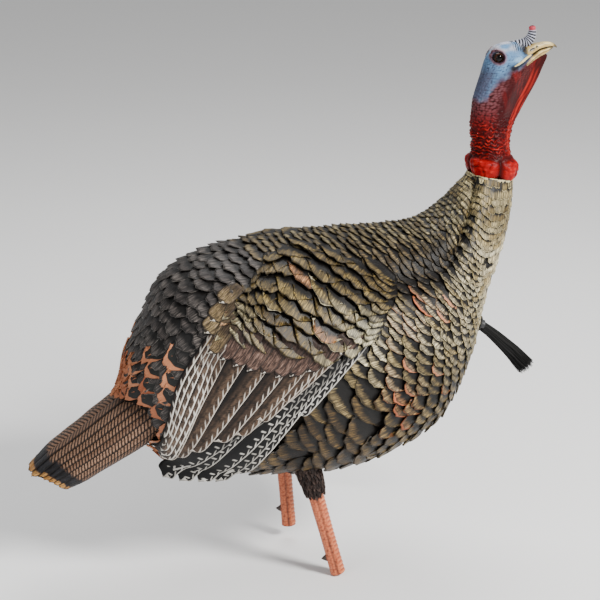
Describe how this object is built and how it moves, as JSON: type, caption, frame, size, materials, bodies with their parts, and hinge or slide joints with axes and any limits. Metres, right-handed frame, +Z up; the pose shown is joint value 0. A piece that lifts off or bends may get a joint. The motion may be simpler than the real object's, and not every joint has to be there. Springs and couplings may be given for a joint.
{
  "type": "turkey decoy",
  "caption": "Hollow standing young male turkey decoy on a swivelling stake socket, with a lift-off swivel head, pull-out beard, moulded wings, tail and legs.",
  "frame": {"origin": "centre of the bottom face of the stake socket under the belly", "axes": "+X forward where the beak points, +Y the bird's left, +Z up along the stake"},
  "size_m": [0.6917, 0.2656, 0.7143],
  "materials": {
    "feather_paint": "moulded feather relief, dry-brushed bronze and gold over near-black",
    "wing_paint": "moulded wing, gold coverts over brown and black-and-white quills",
    "tail_paint": "moulded tail feathers, brown with dark bars and golden tips",
    "thigh_flock": "short dark-brown fuzz",
    "leg_paint": "orange-tan scaled shank",
    "head_skin_paint": "pale blue face, red bare neck, satin",
    "eye_gloss": "glossy dark eye",
    "bristle": "coarse black bristles",
    "black_plastic": "moulded black plastic",
    "black_rubber": "matte",
    "zinc_steel": "zinc plated"
  },
  "bodies": {
    "stake_bush": {"stake_bush": "black_plastic", "stake_grip_ring": "black_rubber"},
    "body": {"body_shell": "feather_paint", "right_wing": "wing_paint", "left_wing": "wing_paint", "tail": "tail_paint", "tail_pin_left": "black_plastic", "tail_pin_right": "black_plastic", "right_shank": "leg_paint", "left_shank": "leg_paint", "right_thigh": "thigh_flock", "left_thigh": "thigh_flock", "right_leg_pin": "zinc_steel", "left_leg_pin": "zinc_steel", "stake_flange": "black_plastic", "flange_screw_1": "zinc_steel", "flange_screw_2": "zinc_steel", "flange_screw_3": "zinc_steel", "flange_screw_4": "zinc_steel", "stake_tube": "black_plastic", "stake_tube_cap": "black_plastic", "neck_socket": "black_plastic", "beard_grommet": "black_rubber"},
    "neck_swivel": {"swivel_sleeve": "black_plastic", "swivel_retainer": "zinc_steel"},
    "head": {"head_skin": "head_skin_paint", "neck_peg": "black_plastic", "peg_screw": "zinc_steel", "right_eye": "eye_gloss", "left_eye": "eye_gloss"},
    "beard": {"beard_ferrule": "black_plastic"},
    "beard_tuft": {"beard_bristles": "bristle"}
  },
  "joints": [
    {"name": "turn_on_stake", "type": "hinge", "parent": "stake_bush", "child": "body", "pos_m": [0, 0, 0.004], "axis": [0, 0, 1], "continuous": true},
    {"name": "neck_turn", "type": "hinge", "parent": "body", "child": "neck_swivel", "pos_m": [0.254, 0, 0.387], "axis": [0.1641, 0, 0.9864], "range_deg": [-75, 75]},
    {"name": "head_lift", "type": "slide", "parent": "neck_swivel", "child": "head", "axis": [0.1641, 0, 0.9864], "range_m": [0, 0.06]},
    {"name": "beard_pull", "type": "slide", "parent": "body", "child": "beard", "axis": [0.9397, 0, -0.3419], "range_m": [0, 0.034]},
    {"name": "beard_sway", "type": "hinge", "parent": "beard", "child": "beard_tuft", "pos_m": [0.2521, 0, 0.17887], "axis": [0, 1, 0], "range_deg": [-20, 20], "stiffness_Nm_per_rad": 0.15, "springref_deg": -3.44}
  ]
}
